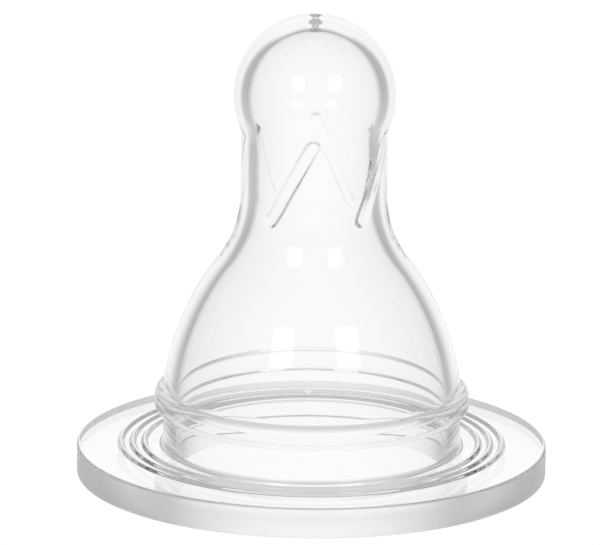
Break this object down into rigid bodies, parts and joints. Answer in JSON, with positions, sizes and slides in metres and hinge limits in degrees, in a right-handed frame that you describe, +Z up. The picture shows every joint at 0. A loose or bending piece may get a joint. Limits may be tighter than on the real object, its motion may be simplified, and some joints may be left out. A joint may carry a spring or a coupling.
{
  "type": "baby bottle feeding teat",
  "caption": "Clear silicone feeding teat: round bulb with feed hole, ribbed neck, domed shoulder, retaining bead, collar groove and flange with seal ridges.",
  "frame": {"origin": "centre of the flat underside of the flange, on the teat's axis", "axes": "+Z up the teat's axis, from the flange to the tip; the first rib's upper end faces -Y and the vent dimple is at +Y"},
  "size_m": [0.0382, 0.0382, 0.0381],
  "materials": {
    "clear_silicone": "clear, colourless, smooth moulded silicone rubber"
  },
  "bodies": {
    "root": {"base_flange": "clear_silicone", "seal_ring_inner": "clear_silicone", "seal_ring_middle": "clear_silicone", "seal_ring_outer": "clear_silicone", "collar_groove_wall": "clear_silicone", "collar_bead": "clear_silicone", "shoulder_dome": "clear_silicone", "neck_wall": "clear_silicone", "neck_rib_1": "clear_silicone", "neck_rib_2": "clear_silicone", "neck_rib_3": "clear_silicone", "neck_rib_4": "clear_silicone", "feeding_bulb": "clear_silicone"}
  },
  "joints": []
}
